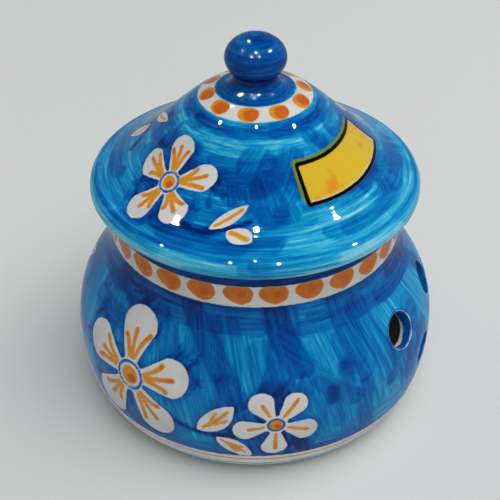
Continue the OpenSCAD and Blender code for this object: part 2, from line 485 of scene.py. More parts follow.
def tongueGap(x, y, start, stop, w0, w1):
    dx, dy = stop[0] - start[0], stop[1] - start[1]
    t = np.clip(((x - start[0]) * dx + (y - start[1]) * dy) / (dx * dx + dy * dy), 0, 1)
    return np.hypot(x - start[0] - t * dx, y - start[1] - t * dy) - (w0 + (w1 - w0) * t)


def curvedGap(x, y, start, mid, stop, w0, w1, parts=7):
    # a brush line along a bent path, made of short tongues
    t = np.linspace(0, 1, parts + 1)[:, None]
    path = (1 - t) ** 2 * np.array(start) + 2 * t * (1 - t) * np.array(mid) + t * t * np.array(stop)
    gap = np.full(len(x), farOff)
    for k in range(parts):
        a, b = w0 + (w1 - w0) * k / parts, w0 + (w1 - w0) * (k + 1) / parts
        gap = np.minimum(gap, tongueGap(x, y, path[k], path[k + 1], a, b))
    return gap


def polar(radius, angle):
    return np.array((radius * math.cos(angle), radius * math.sin(angle)))


blossom = {
    "petals": 5, "sway": 0.07,  # radians
    # shares of the blossom's size
    "reach": (0.95, 1.04), "wide": (0.285, 0.32), "rootAt": 0.2, "rootWide": 0.1, "heart": 0.25,
    "eye": (0.15, 0.14), "eyeDeep": (0.08, 0.07), "eyeShift": (0.04, -0.03), "ring": 0.215,
    "ringFlat": 1.05, "ringLine": 0.35, "ringGrow": 0.012, "small": 18,
    # ochre lines that fan out over a petal: shares of the size and of the lean, then their thickness
    "lean": 0.27, "leanSway": 0.04, "lineFrom": (0.28, 0.6), "lineMid": (0.55, 0.75),
    "lineTo": (0.62, 0.84), "lineFan": 1.15, "lineDrop": 0.35,
    "lineBase": 0.25, "lineGrow": 0.033, "lineLeast": 0.95,
    "rootLine": (0.55, 0.75), "deepLine": (0.1, 0.45), "deepSteps": 3,
}


def paintBlossom(sheet, rng, turn, run, size, lines, first):
    b = blossom
    x, y = spread(sheet, turn, run)
    thick = max(b["lineBase"] + b["lineGrow"] * size, b["lineLeast"])
    thin = max(b["rootLine"][0] * thick, b["rootLine"][1])
    deepThin, deepThick = b["deepLine"][0] * thick, b["deepLine"][1] * thick
    for k in range(b["petals"]):
        a = math.radians(first) + 2 * math.pi * k / b["petals"] + rng.uniform(-b["sway"], b["sway"])
        reach = size * rng.uniform(*b["reach"])
        wide = size * rng.uniform(*b["wide"])
        root, tip = polar(b["rootAt"] * size, a), polar(reach - wide, a)
        keepNearest(sheet, "white", tongueGap(x, y, root, tip, b["rootWide"] * size, wide))
        for i in range(lines):
            lean = (i - (lines - 1) / 2) * b["lean"] + rng.uniform(-b["leanSway"], b["leanSway"])
            long = size * rng.uniform(*b["lineTo"]) * (1 - b["lineDrop"] * abs(lean))
            begin = polar(b["lineFrom"][0] * size, a + lean * b["lineFrom"][1])
            mid = polar(b["lineMid"][0] * size, a + lean * b["lineMid"][1])
            end = polar(long, a + lean * b["lineFan"])
            keepNearest(sheet, "ochre", curvedGap(x, y, begin, mid, end, thin, thick))
            deep = curvedGap(x, y, mid, (mid + end) / 2, end, deepThin, deepThick, b["deepSteps"])
            keepNearest(sheet, "rich", deep)
    keepNearest(sheet, "white", np.hypot(x, y) - b["heart"] * size)
    keepNearest(sheet, "ochre", ovalGap(x, y, b["eye"][0] * size, b["eye"][1] * size))
    right, up = b["eyeShift"][0] * size, b["eyeShift"][1] * size
    keepNearest(sheet, "rich", ovalGap(x - right, y - up, b["eyeDeep"][0] * size, b["eyeDeep"][1] * size))
    ring = np.hypot(x, y * b["ringFlat"]) - b["ring"] * size
    if size > b["small"]:  # on a small blossom the ring is a filled spot under the eye
        ring = np.abs(ring) - b["ringLine"] - b["ringGrow"] * size
    keepNearest(sheet, "dash", ring)


sprig = {
    "stalk": (0.9, 1.2), "stalkSteps": 12, "stalkEdge": (0.9, -0.5), "stalkDepth": 0.5,
    # leaf: its rib and side veins are shares of its length and width
    "stem": 1.5, "curl": 0.008, "slide": 0.1, "rib": (-0.8, 0.55), "ribWide": 0.8,
    "broad": 4, "veinFrom": (-0.5, 0.4), "veinTo": (0.1, 0.25), "veinOut": (0.5, 0.6), "vein": (0.5, 0.75),
}


def paintSprig(sheet, rng, turn, run, bend, stop, leaves):
    # a dark curved stalk with white leaves on alternate sides
    g = sprig
    x, y = spread(sheet, turn, run)
    stalk = curvedGap(x, y, (0, 0), bend, stop, *g["stalk"], g["stalkSteps"])
    sheet["wash"] += g["stalkDepth"] * ease(*g["stalkEdge"], stalk)
    bend, stop = np.array(bend), np.array(stop)
    for t, side, long, wide in leaves:
        root = 2 * t * (1 - t) * bend + t * t * stop
        way = 2 * (1 - t) * bend + 2 * t * (stop - bend)
        angle = math.atan2(way[1], way[0]) + side
        c, s = math.cos(angle), math.sin(angle)
        p = (x - root[0]) * c + (y - root[1]) * s - long - g["stem"]
        q = (y - root[1]) * c - (x - root[0]) * s
        q = q - math.copysign(g["curl"], side) * p * p
        radius = (long * long + wide * wide) / (2 * wide)
        keepNearest(sheet, "white", np.hypot(p + g["slide"] * long, np.abs(q) + radius - wide) - radius)
        ribFrom, ribTo = (g["rib"][0] * long, 0), (g["rib"][1] * long, 0)
        keepNearest(sheet, "ochre", tongueGap(p, q, ribFrom, ribTo, g["ribWide"], g["ribWide"]))
        flips = (-1, 1) if wide > g["broad"] else ()  # only a broad leaf has side veins
        for flip in flips:
            begin = (g["veinFrom"][0] * long, flip * g["veinFrom"][1])
            tip = (rng.uniform(*g["veinTo"]) * long, flip * wide * rng.uniform(*g["veinOut"]))
            keepNearest(sheet, "ochre", tongueGap(p, q, begin, tip, *g["vein"]))


dotHand = {
    "turn": 0.5, "run": 0.3, "tilt": 0.12, "shift": (0.2, 0.28),  # how the hand strays along the row
    "swell": -0.3, "lift": 0.4, "reach": 9,  # how a pointed dot draws in to its left end
}


def paintDots(sheet, rng, run, dots):
    # a row of two-stroke dots: a yellow dab and a deeper one laid on its right side
    long, tall, point, dab = dots["long"], dots["tall"], dots["point"], dots["dab"]
    for k in range(dots["count"]):
        turn = dots["first"] + 360.0 * k / dots["count"] + rng.uniform(-dotHand["turn"], dotHand["turn"])
        x, y = spread(sheet, turn, run + rng.uniform(-dotHand["run"], dotHand["run"]))
        tilt = rng.uniform(-dotHand["tilt"], dotHand["tilt"])
        squeeze = 1 - point * np.clip(-x / long, dotHand["swell"], 1)
        lift = point * dotHand["lift"] * np.clip(-x, 0, dotHand["reach"])
        keepNearest(sheet, "ochre", ovalGap(x, (y - lift) / squeeze, long, tall, tilt))
        shift = rng.uniform(*dotHand["shift"]) * long
        dabLong, dabTall = dab["share"] * long, dab["round"] * dab["share"] * tall
        inner = ovalGap(x - shift, y + dab["drop"] * tall, dabLong, dabTall, tilt)
        keepNearest(sheet, "rich", np.maximum(inner * dab["soft"], -dab["depth"]))
        # a thin layer of the deeper orange over the whole dot, as deep as the dab's rim allows: painted shade
        # on the jar's neck under the lid, and none on the lid
        keepNearest(sheet, "rich", np.maximum(ovalGap(x, y, long, tall, tilt), dab["rim"]))


brush = {
    "edge": 1.08, "crisp": 0.85,  # where a stroke ends across its half width, and where it is full
    "dry": (2, 8), "grip": 0.85, "laneEase": (0.3, 0.7),
    "body": 0.75, "sidePool": (0.4, 0.16), "startPool": (0.35, 3.0),  # paint pools at the sides and the start
}
scratch = {"gaps": (1.0, 5.0), "long": (6, 15), "wide": (0.7, 1.7), "bend": 0.05, "dry": 2.5}


def layStroke(sheet, area, turn, run, angle, long, wide, bend, load, dry, crisp):
    # one stroke of the wide brush: denser at its edges, fading where the brush runs dry
    x, y = spread(sheet, turn, run)
    c, s = math.cos(angle), math.sin(angle)
    along = x * c + y * s
    across = y * c - x * s - bend * along * along / 2
    side = np.hypot(across, np.maximum(np.abs(along) - max(long / 2 - wide, 0), 0)) / wide
    body = ease(brush["edge"], crisp, side) * ease(long / 2 + dry, long / 2 - dry, along) * area
    sideGain, sideWide = brush["sidePool"]
    startGain, startLong = brush["startPool"]
    pool = brush["body"] + sideGain * np.exp(-((1 - side) / sideWide) ** 2)
    pool += startGain * np.exp(-((along + long / 2) / startLong) ** 2)
    sheet["wash"] += load * body * pool
    lanes = len(laneAngles)
    lane = np.interp(math.degrees(angle) % 180, laneAngles + (180.0,), range(lanes + 1))
    low = int(lane) % lanes
    share = ease(*brush["laneEase"], lane - int(lane))
    way = np.zeros(lanes)
    way[low] += 1 - share
    way[(low + 1) % lanes] += share
    grip = (body * brush["grip"])[:, None]
    sheet["flow"] = sheet["flow"] * (1 - grip) + way * grip


def brushOver(sheet, rng, spec):
    area = sheet["outer"] * 1.0
    for _ in range(spec["count"]):
        turn, run = rng.uniform(-180, 180), rng.uniform(*spec["runs"])
        angle = math.radians(rng.normal(spec["angle"], spec["stray"]))
        long, wide = rng.uniform(*spec["long"]), rng.uniform(*spec["wide"])
        bend = rng.uniform(-1, 1) * spec["bend"]
        load, dry = rng.uniform(*spec["load"]), rng.uniform(*brush["dry"])
        crisp = spec.get("crisp", brush["crisp"])
        layStroke(sheet, area, turn, run, angle, long, wide, bend, load, dry, crisp)


def scratchEdges(sheet, rng, count, loads):
    # thin dry strokes that hug the white reserves
    low, high = scratch["gaps"]
    edge = np.flatnonzero(sheet["outer"] & (sheet["white"] > low) & (sheet["white"] < high))
    area = sheet["outer"] * 1.0
    for k in rng.choice(edge, count):
        angle = rng.uniform(0, math.pi)
        long, wide = rng.uniform(*scratch["long"]), rng.uniform(*scratch["wide"])
        bend, load = rng.uniform(-scratch["bend"], scratch["bend"]), rng.uniform(*loads)
        layStroke(sheet, area, sheet["turn"][k], sheet["run"][k], angle, long, wide, bend, load,
                  scratch["dry"], brush["crisp"])


def setTone(sheet, mean, swing, limit=2.2):
    # evens out the sum of the strokes to a mean depth and a swing about it, with the far ends held back
    area = sheet["outer"] & (sheet["white"] > 0)
    wash = sheet["wash"]
    even = (wash - wash[area].mean()) / wash[area].std()
    sheet["wash"] = mean + swing * limit * np.tanh(even / limit)


def storeSheet(sheet, laneR):
    # streak lanes, one for each of the angles: a place on the wall, drawn out along the stroke
    mesh = sheet["obj"].data
    a = np.radians(sheet["turn"])
    run = sheet["run"]
    lanes = [np.stack([laneR * np.cos(a) * laneStretch, laneR * np.sin(a) * laneStretch, run], 1)]
    for angle in laneAngles[1:]:
        b = a - run / laneR / math.tan(math.radians(angle))
        lanes.append(np.stack([laneR * np.cos(b), laneR * np.sin(b), run * laneStretch], 1))
    for mark in marks + ("wash",):
        layer = mesh.attributes.new(mark, "FLOAT", "POINT")
        layer.data.foreach_set("value", np.ascontiguousarray(sheet[mark], dtype=np.float32))
    for k, lane in enumerate(lanes):
        layer = mesh.attributes.new("lane%d" % k, "FLOAT_VECTOR", "POINT")
        layer.data.foreach_set("vector", lane.astype(np.float32).ravel())
        layer = mesh.attributes.new("flow%d" % k, "FLOAT", "POINT")
        layer.data.foreach_set("value", np.ascontiguousarray(sheet["flow"][:, k], dtype=np.float32))
    layMap(sheet)


def layMap(sheet):
    # a flat layout of the piece: the outside as two half turns, and the inside as a strip above them
    m = mapRows
    mesh = sheet["obj"].data
    corner = np.empty(len(mesh.loops), np.int32)
    first = np.empty(len(mesh.polygons), np.int32)
    count = np.empty(len(mesh.polygons), np.int32)
    mesh.loops.foreach_get("vertex_index", corner)
    mesh.polygons.foreach_get("loop_start", first)
    mesh.polygons.foreach_get("loop_total", count)

    def faceMean(values):
        return np.repeat(np.add.reduceat(values[corner].astype(float), first) / count, count)

    middle = np.arctan2(faceMean(sheet["place"][:, 0]), -faceMean(sheet["place"][:, 1]))
    outside = faceMean(sheet["outer"] | sheet["bored"]) > 0.99
    off = np.where(outside, sheet["mapTurn"][corner], sheet["around"][corner]) - middle
    off = np.where(sheet["r"][corner] > 0.01, (off + math.pi) % (2 * math.pi) - math.pi, 0)
    halves = ((middle - math.pi / 2) % (2 * math.pi)) / math.pi
    strip = np.floor(halves)
    u = np.where(outside, halves - strip + off / math.pi, (middle + off) / (2 * math.pi) + 0.5)
    outRow = m["low"] + strip * m["step"] + m["tall"] * sheet["mapRun"][corner] / sheet["outLong"]
    inRow = m["inLow"] + m["inTall"] * sheet["runIn"][corner] / sheet["inLong"]
    flat = np.stack([m["margin"] + (1 - 2 * m["margin"]) * u, np.where(outside, outRow, inRow)], 1)
    layer = mesh.uv_layers.new(name="OFBake")
    layer.data.foreach_set("uv", np.clip(flat, 0, 1).astype(np.float32).ravel())


# glaze

def srgb(*levels):
    c = [x / 255 for x in levels]
    return tuple(x / 12.92 if x < 0.04045 else ((x + 0.055) / 1.055) ** 2.4 for x in c) + (1.0,)


washSteps = (  # the blue, from its thinnest wash to its deepest
    (0.0, srgb(138, 202, 218)), (0.15, srgb(80, 180, 208)), (0.3, srgb(36, 154, 197)),
    (0.45, srgb(12, 129, 182)), (0.6, srgb(2, 104, 168)), (0.78, srgb(0, 78, 149)), (1.0, srgb(0, 45, 108)),
)
paints = {
    "tin": srgb(210, 209, 205), "thinTin": srgb(200, 198, 192), "speck": srgb(150, 128, 104),
    "blueLine": srgb(2, 104, 168), "ochre": srgb(212, 144, 10), "rich": srgb(192, 92, 0),
    "yellow": srgb(210, 176, 18), "orange": srgb(220, 136, 8), "green": srgb(96, 130, 34),
    "ink": srgb(10, 9, 10), "clay": srgb(208, 186, 162), "darkClay": srgb(176, 146, 120),
}
edges = {  # each paint's edge: the gaps where it starts and where it is full, and how far it shakes
    "white": (-0.25, 0.3, 0.5), "dash": (0.35, -0.35, 0.5), "rich": (0.5, -0.5, 0.6),
    "ochre": (0.35, -0.3, 0.45), "gold": (0.5, -0.5, 0.8), "label": (0.25, -0.25, 0.4),
    "clay": (0.4, -0.4, 0.0),
}
finish = {
    # scales of the noises, the first three along the streaks and the others over the object's metres
    "streak": 0.4, "hair": 0.95, "rings": 0.4, "shake": 420.0, "grain": 900.0, "tin": 45.0,
    "speck": 520.0, "label": 90.0, "clay": 700.0, "relief": 110.0,
    # where each of them starts to show, and where it shows in full
    "paleStreak": (0.06, 0.22), "paleHair": (0.05, 0.17), "darkHair": (-0.06, -0.18),
    "richStreak": (-0.05, 0.2), "thinTin": (0.42, 0.68), "specks": (0.76, 0.84), "orange": (0.54, 0.72),
    "darkClay": (0.4, 0.7), "ringRuns": (55.0, 40.0),
    # how strong they are
    "shakeSwing": 1.3, "grainDepth": 0.08, "poolFall": -0.45, "hairLight": -0.65, "hairDark": 0.5,
    "speckCover": 0.5, "richCover": 0.35, "ochreCover": 0.96, "greenCover": 0.85, "goldCover": 0.95,
    # half the ink line's width, how rough bare clay is, and the glaze's gloss and relief
    "inkHalf": 0.8, "clayRough": 0.7, "ior": 1.4, "level": 0.5, "bump": 0.12, "bumpDepth": 0.0006,
}
looks = {
    "jarGlaze": {"streaks": 0.85, "lightLines": 0.18, "rough": 0.03, "pool": 0.26, "rings": 0.0},
    "lidGlaze": {"streaks": 0.9, "lightLines": 0.2, "rough": 0.03, "pool": 0.2, "rings": 2.0},
    "knobGlaze": {"streaks": 0.75, "lightLines": 0.14, "rough": 0.02, "pool": 0.0, "rings": 0.0},
}


def glazeMaterial(name):
    look, f = looks[name], finish
    material = bpy.data.materials.new(name)
    material.use_nodes = True
    tree = material.node_tree
    shader = tree.nodes["Principled BSDF"]

    def mark(label):
        return addNode(tree, "ShaderNodeAttribute", attribute_name=label).outputs["Fac"]

    def laneAt(k):
        return addNode(tree, "ShaderNodeAttribute", attribute_name="lane%d" % k).outputs["Vector"]

    def noise(scale, detail, vector, roughness=0.55):
        return addNode(tree, "ShaderNodeTexNoise", {"Vector": vector, "Scale": scale, "Detail": detail,
                                                    "Roughness": roughness}).outputs["Fac"]

    def steps(value, low, high):
        return addNode(tree, "ShaderNodeMapRange", {"Value": value, "From Min": low, "From Max": high},
                       interpolation_type="SMOOTHSTEP").outputs["Result"]

    def mix(factor, a, b):
        return addNode(tree, "ShaderNodeMix", {0: factor, 6: a, 7: b}, data_type="RGBA").outputs[2]

    def plus(a, b, gain=1.0):
        return mathNode(tree, "MULTIPLY_ADD", b, gain, a)

    def times(a, b):
        return mathNode(tree, "MULTIPLY", a, b)

    place = addNode(tree, "ShaderNodeTexCoord").outputs["Object"]
    shake = plus(-f["shakeSwing"] / 2, noise(f["shake"], 2.0, place), f["shakeSwing"])  # an unsteady edge
    grain = mathNode(tree, "SUBTRACT", noise(f["grain"], 2.0, place), 0.5)

    def shaken(label):
        return plus(mark(label), shake, edges[label][2])

    def cover(label):
        return steps(shaken(label), *edges[label][:2])

    streak, hair = -0.5, -0.5  # the wide brush's streaks, and the fine lines of its single hairs
    for k in range(len(laneAngles)):
        lane = laneAt(k)
        streak = plus(streak, noise(f["streak"], 4.0, lane, 0.68), mark("flow%d" % k))
        hair = plus(hair, noise(f["hair"], 1.0, lane), mark("flow%d" % k))

    # blue wash, deeper where it pools against the white
    white = shaken("white")
    near = times(mathNode(tree, "EXPONENT", times(white, f["poolFall"])), look["pool"])
    wash = plus(mark("wash"), streak, look["streaks"])
    wash = plus(wash, steps(streak, *f["paleStreak"]), -look["lightLines"])
    wash = plus(wash, steps(hair, *f["paleHair"]), f["hairLight"] * look["lightLines"])
    wash = plus(wash, steps(hair, *f["darkHair"]), f["hairDark"] * look["lightLines"])
    wash = plus(wash, mathNode(tree, "MINIMUM", near, look["pool"]))
    wash = plus(wash, grain, f["grainDepth"])
    ramp = addNode(tree, "ShaderNodeValToRGB", {"Fac": wash})
    band = ramp.color_ramp
    while len(band.elements) < len(washSteps):
        band.elements.new(0.5)
    for element, (at, colour) in zip(band.elements, washSteps):
        element.position = at
        element.color = colour

    # white, then the blue, ochre and label paints over it
    blue = steps(white, *edges["white"][:2])
    tin = mix(steps(noise(f["tin"], 3.0, place), *f["thinTin"]), paints["tin"], paints["thinTin"])
    speck = steps(noise(f["speck"], 1.0, place), *f["specks"])
    tin = mix(times(speck, f["speckCover"]), tin, paints["speck"])
    colour = mix(blue, tin, ramp.outputs["Color"])
    colour = mix(cover("dash"), colour, paints["blueLine"])
    paint = mix(cover("rich"), paints["ochre"], paints["rich"])
    paint = mix(times(steps(streak, *f["richStreak"]), f["richCover"]), paint, paints["rich"])
    colour = mix(times(cover("ochre"), f["ochreCover"]), colour, paint)
    gold = mix(steps(noise(f["label"], 2.0, place), *f["orange"]), paints["yellow"], paints["orange"])
    gold = mix(times(blue, f["greenCover"]), gold, paints["green"])  # yellow over blue turns green
    colour = mix(times(cover("gold"), f["goldCover"]), colour, gold)
    frameLine = mathNode(tree, "ABSOLUTE", shaken("label"))
    ink = mathNode(tree, "SUBTRACT", frameLine, f["inkHalf"])
    colour = mix(steps(ink, *edges["label"][:2]), colour, paints["ink"])

    # bare clay under the foot
    bare = cover("clay")
    clay = mix(steps(noise(f["clay"], 3.0, place), *f["darkClay"]), paints["clay"], paints["darkClay"])
    tree.links.new(mix(bare, colour, clay), shader.inputs["Base Color"])
    tree.links.new(plus(look["rough"], bare, f["clayRough"]), shader.inputs["Roughness"])
    shader.inputs["IOR"].default_value = f["ior"]
    shader.inputs["Specular IOR Level"].default_value = f["level"]

    relief = noise(f["relief"], 2.0, place)
    if look["rings"]:  # rings left by the wheel, from the rim up to the middle of the slope
        rings = laneAt(roundLane)
        run = addNode(tree, "ShaderNodeSeparateXYZ", {0: rings}).outputs["Z"]
        depth = times(steps(run, *f["ringRuns"]), look["rings"])
        relief = plus(relief, noise(f["rings"], 1.0, rings), depth)
    bump = addNode(tree, "ShaderNodeBump",
                   {"Strength": f["bump"], "Distance": f["bumpDepth"], "Height": relief})
    tree.links.new(bump.outputs[0], shader.inputs["Normal"])
    return material


jarGlaze, lidGlaze, knobGlaze = [glazeMaterial(name) for name in looks]

# jar: turning, vents and painting

jarUnder, jarOutside, jarInside = jarRuns()
jarObj = turnPiece("jar", joinRuns(jarUnder, jarOutside, jarInside), jar, jarGlaze)
layoutObj, ventAxes = ventLayout(jarOutside)
cutterObj = ventCutter()
runTree(jarObj, boreVents, {"Layout": layoutObj, "Cutter": cutterObj, "Glaze": jarGlaze})
for spare in (layoutObj, cutterObj):
    bpy.data.objects.remove(spare)
jarPaint = {
    "seed": 21, "tone": (0.52, 0.16), "laneR": 74.0,
    "bandLow": 6.8, "bandHigh": 13.8, "footLine": 1.8, "line": 11.2, "lineHalf": 0.5, "neckBand": 81.2,
    "neckTop": 91.0, "lipEdge": 0.8, "bareTop": 0.6, "bareEdge": 0.3,
    "upright": ((18, 26), (80, 72)),  # heights between which the belly is brushed up and down
    "shoulderDeep": (66, 76, 0.1), "lipDeep": 0.35, "footPale": 0.5, "soft": 1,
    "scratches": (150, (0.06, 0.24)),
    "dots": {"z": 87.3, "count": 27, "first": -6.8, "long": 6.0, "tall": 5.0, "point": 0.22,
             # the dab's rim lays the deeper orange thinly over every whole dot: painted shade under the lid
             "dab": {"share": 0.45, "round": 1.1, "drop": 0.06, "soft": 0.4, "depth": 0.4, "rim": -0.1}},
    # turn, height, size, lines on a petal and the angle of the first petal
    "blossoms": ((-41, 43, 30, 3, 20), (6, 34, 18, 1, 50), (-128, 43, 29, 3, 60), (179, 33, 18, 1, 10),
                 (142, 43, 26, 3, 36)),
    # turn, height, bend and end of the stalk, and each leaf's place on it, lean, half length and half width
    "sprigs": ((-41, 43, (36, -27), (62, -9), ((0.5, 0.95, 10.5, 5), (0.62, -0.75, 9, 4.2))),
               (-128, 42, (34, 22), (62, -8), ((0.5, 0.8, 8.5, 3.8), (0.6, -0.85, 8, 3.6))),
               (-128, 42, (-34, -22), (-46, 8), ((0.62, 0.8, 8, 3.6), (0.8, -0.8, 8, 3.6))),
               (142, 43, (-34, 16), (-52, -14), ((0.6, 0.85, 8, 3.6), (0.8, -0.85, 8, 3.6)))),
    "strokes": (
        {"count": 30, "runs": (79, 91), "angle": 0, "stray": 3, "long": (36, 80), "wide": (2, 4.5),
         "bend": 0.001, "load": (0.1, 0.4)},
        {"count": 26, "runs": (14, 27), "angle": 0, "stray": 4, "long": (36, 80), "wide": (2.5, 5),
         "bend": 0.001, "load": (0.05, 0.3)},
        {"count": 70, "runs": (26, 80), "angle": 106, "stray": 13, "long": (26, 54), "wide": (4, 9),
         "bend": 0.02, "load": (0.1, 0.42)},
        {"count": 8, "runs": (24, 78), "angle": 20, "stray": 28, "long": (16, 36), "wide": (4, 8),
         "bend": 0.02, "load": (0.08, 0.34)},
        {"count": 40, "runs": (24, 82), "angle": 60, "stray": 60, "long": (5, 11), "wide": (3, 5.5),
         "bend": 0.0, "load": (0.35, 0.85), "crisp": 0.5},
    ),
}
ventPaint = {
    "margin": 0.6, "depths": (-14, 4), "wallFrom": 0.12, "wash": 0.55,
    "glazeIn": 0.76, "glazeWaves": ((0.1, 2, 1), (0.05, 5, 0)),  # how far the blue runs into the bore
    "breakAt": 0.79, "breakHalf": 0.03, "breakDepth": -2,  # the pale line where the glaze thins at the edge
    "breakWaves": ((0.12, 1, 2.4), (0.05, 7, 0)), "breakOwn": (0.06, 3),
    "mapFrom": 0.2, "mapTo": 0.1, "mapDraw": 0.55,
}


def ripple(spin, base, waves):
    return base + sum(gain * np.sin(times * spin + shift) for gain, times, shift in waves)


def paintVents(sheet):
    v, bore = ventPaint, vents["bore"] / 2
    offWall = sheet["offWall"]
    for place, out in ventAxes:
        axis = np.array(out)
        spot = np.array(place) / mm
        away = sheet["place"] - spot
        depth = away @ axis
        flat = away - depth[:, None] * axis
        rho = np.linalg.norm(flat, axis=1)
        spin = np.arctan2(flat[:, 2], flat @ np.cross((0, 0, 1), axis))
        near = rho < bore + vents["edge"] + v["margin"]
        near &= (depth > v["depths"][0]) & (depth < v["depths"][1])
        wall = near & (offWall > v["wallFrom"])
        glazeEnd = jar["wall"] * ripple(spin, v["glazeIn"], v["glazeWaves"])
        sheet["white"] = np.where(wall, depth + glazeEnd, sheet["white"])
        sheet["wash"] = np.where(wall, v["wash"], sheet["wash"])
        half = ripple(spin, v["breakHalf"], v["breakWaves"] + (v["breakOwn"] + (spot[0],),))
        breakLine = np.minimum(sheet["white"], np.abs(rho - bore - v["breakAt"]) - half)
        sheet["white"] = np.where(near & (depth > v["breakDepth"]), breakLine, sheet["white"])
        # in the flat layout the bore's wall is a ring inside its own mouth
        radius, turn = math.hypot(spot[0], spot[1]), math.atan2(spot[0], -spot[1])
        side = np.array((math.cos(turn), math.sin(turn), 0))
        inBore = near & (offWall > v["mapFrom"]) & (offWall < jar["wall"] - v["mapTo"])
        draw = 1 - v["mapDraw"] * offWall / jar["wall"]
        mapTurn = turn + flat @ side * draw / radius
        mapRun = runAt(jarOutside, 1, spot[2]) + flat @ np.cross(axis, side) * draw
        sheet["mapTurn"] = np.where(inBore, mapTurn, sheet["mapTurn"])
        sheet["mapRun"] = np.where(inBore, mapRun, sheet["mapRun"])
        sheet["bored"] |= inBore


def paintJar():
    j = jarPaint
    rng = np.random.default_rng(j["seed"])
    sheet = newSheet(jarObj, jarOutside, joinRuns(jarInside, jarUnder))
    z, outer = sheet["z"], sheet["outer"]
    upright = ease(*j["upright"][0], z) * ease(*j["upright"][1], z)
    sheet["flow"][:, roundLane] -= upright
    sheet["flow"][:, uprightLane] += upright
    for spec in j["strokes"]:
        brushOver(sheet, rng, spec)
    setTone(sheet, *j["tone"])
    for turn, atZ, bend, stop, leaves in j["sprigs"]:
        paintSprig(sheet, rng, turn, runAt(jarOutside, 1, atZ), bend, stop, leaves)
    for turn, atZ, size, lines, first in j["blossoms"]:
        paintBlossom(sheet, rng, turn, runAt(jarOutside, 1, atZ), size, lines, first)
    scratchEdges(sheet, rng, *j["scratches"])
    lipLine = np.minimum(z - j["neckTop"], lipZ - j["lipEdge"] - z)
    keepNearest(sheet, "white", np.where(outer, np.maximum(j["neckBand"] - z, lipLine), wellIn))
    keepNearest(sheet, "white", np.maximum(j["bandLow"] - z, z - j["bandHigh"]))
    keepNearest(sheet, "white", z - j["bandLow"] + j["footLine"])
    shoulderLow, shoulderHigh, shoulderDepth = j["shoulderDeep"]
    sheet["wash"] += shoulderDepth * ease(shoulderLow, shoulderHigh, z)
    sheet["wash"] += j["lipDeep"] * ease(j["neckTop"] - j["soft"], j["neckTop"] + j["soft"], z)
    sheet["wash"] -= j["footPale"] * ease(j["bandLow"] + j["soft"], j["bandLow"] - j["soft"], z)
    keepNearest(sheet, "ochre", np.where(outer, np.abs(z - j["line"]) - j["lineHalf"], farOff))
    paintDots(sheet, rng, runAt(jarOutside, 1, j["dots"]["z"]), j["dots"])
    for mark in ("ochre", "rich", "dash"):
        sheet[mark] = np.where(outer, np.maximum(sheet[mark], z - j["neckTop"]), farOff)
    sheet["clay"] = np.where(z < j["bareTop"], z - j["bareEdge"], farOff)
    paintVents(sheet)
    storeSheet(sheet, j["laneR"])


paintJar()
print("jar:", len(jarObj.data.polygons), "faces")

# lid: turning and painting

lidOutside, lidInside = lidRuns()
lidObj = turnPiece("lid_bell", joinRuns(lidInside, lidOutside), lid, lidGlaze)
lidPaint = {
    "seed": 8, "tone": (0.47, 0.15), "laneR": 50.0, "collarOut": 23.2, "collarIn": 16.5,
    "pale": {"turn": 72, "turns": (71, 46), "radii": (40, 52), "lift": 0.09},  # a painted sheen: lighter blue on the brim's right side
    # how much deeper the blue is laid, by radius on the slope and by run on the rim; the rim's lighter roll
    # is partly a painted reflection
    "shadeR": (12, 14.6, 15.6, 16.4, 23.3, 24.4, 25.4, 28.2, 29.4, 33, 42, 55, 63),
    "shade": (0.2, 0.2, 0.16, -0.2, -0.2, 0.02, 0.22, 0.22, -0.08, -0.04, 0.03, -0.02, -0.04),
    "rimRun": (0, 5, 9, 12, 13.2, 14.4), "rimBandAndSheen": (-0.05, -0.18, -0.24, -0.1, 0.16, -0.04),
    "scratches": (60, (0.06, 0.22)),
    "dots": {"count": 10, "first": -8.5, "long": 4.3, "tall": 3.6, "point": 0.0,
             "dab": {"share": 0.74, "round": 1.1, "drop": 0.06, "soft": 1.0, "depth": 0.32, "rim": 9.0}},
    # turn, radius, size, lines on a petal and the angle of the first petal
    "blossoms": ((-46, 47, 20, 3, 30), (-150, 47, 19, 3, 0), (160, 46, 19, 3, 50)),
    # turn, radius, bend and end of the stalk, and its leaves, as on the jar
    "sprigs": ((-46, 47, (16, -22), (40, -8), ((0.72, 0.75, 7, 3.2), (0.86, -0.7, 6.5, 3))),
               (-150, 47, (30, 14), (56, -6), ((0.5, 0.8, 7, 3.2), (0.66, -0.8, 7, 3.2))),
               (160, 46, (-20, -18), (-36, 6), ((0.7, 0.75, 7, 3.2), (0.9, -0.7, 6.5, 3)))),
    "strokes": (
        {"count": 44, "runs": (4, 26), "angle": 0, "stray": 3, "long": (34, 80), "wide": (1.4, 4),
         "bend": 0.001, "load": (0.06, 0.36)},
        {"count": 14, "runs": (58, 72), "angle": 0, "stray": 3, "long": (16, 40), "wide": (1.4, 3),
         "bend": 0.001, "load": (0.06, 0.3)},
        {"count": 36, "runs": (24, 60), "angle": 6, "stray": 14, "long": (18, 42), "wide": (4, 8),
         "bend": 0.02, "load": (0.08, 0.36)},
        {"count": 26, "runs": (26, 58), "angle": 98, "stray": 24, "long": (12, 26), "wide": (4, 8),
         "bend": 0.03, "load": (0.1, 0.36)},
        {"count": 30, "runs": (24, 60), "angle": 50, "stray": 60, "long": (4, 10), "wide": (3, 6),
         "bend": 0.0, "load": (0.25, 0.6), "crisp": 0.5},
    ),
}
label = {
    "runs": (33.4, 50.0), "turns": (24.5, 94.0), "radius": 43.5, "wave": 0.3, "waveLong": 9.0, "corner": 0.6,
    "gold": {"right": -1.6, "up": 1.5, "past": 0.4, "corner": 1.8},  # the yellow, laid a little off its frame
    "white": {"right": 0.5, "up": -0.5, "past": 0.2, "corner": 1.0},
}


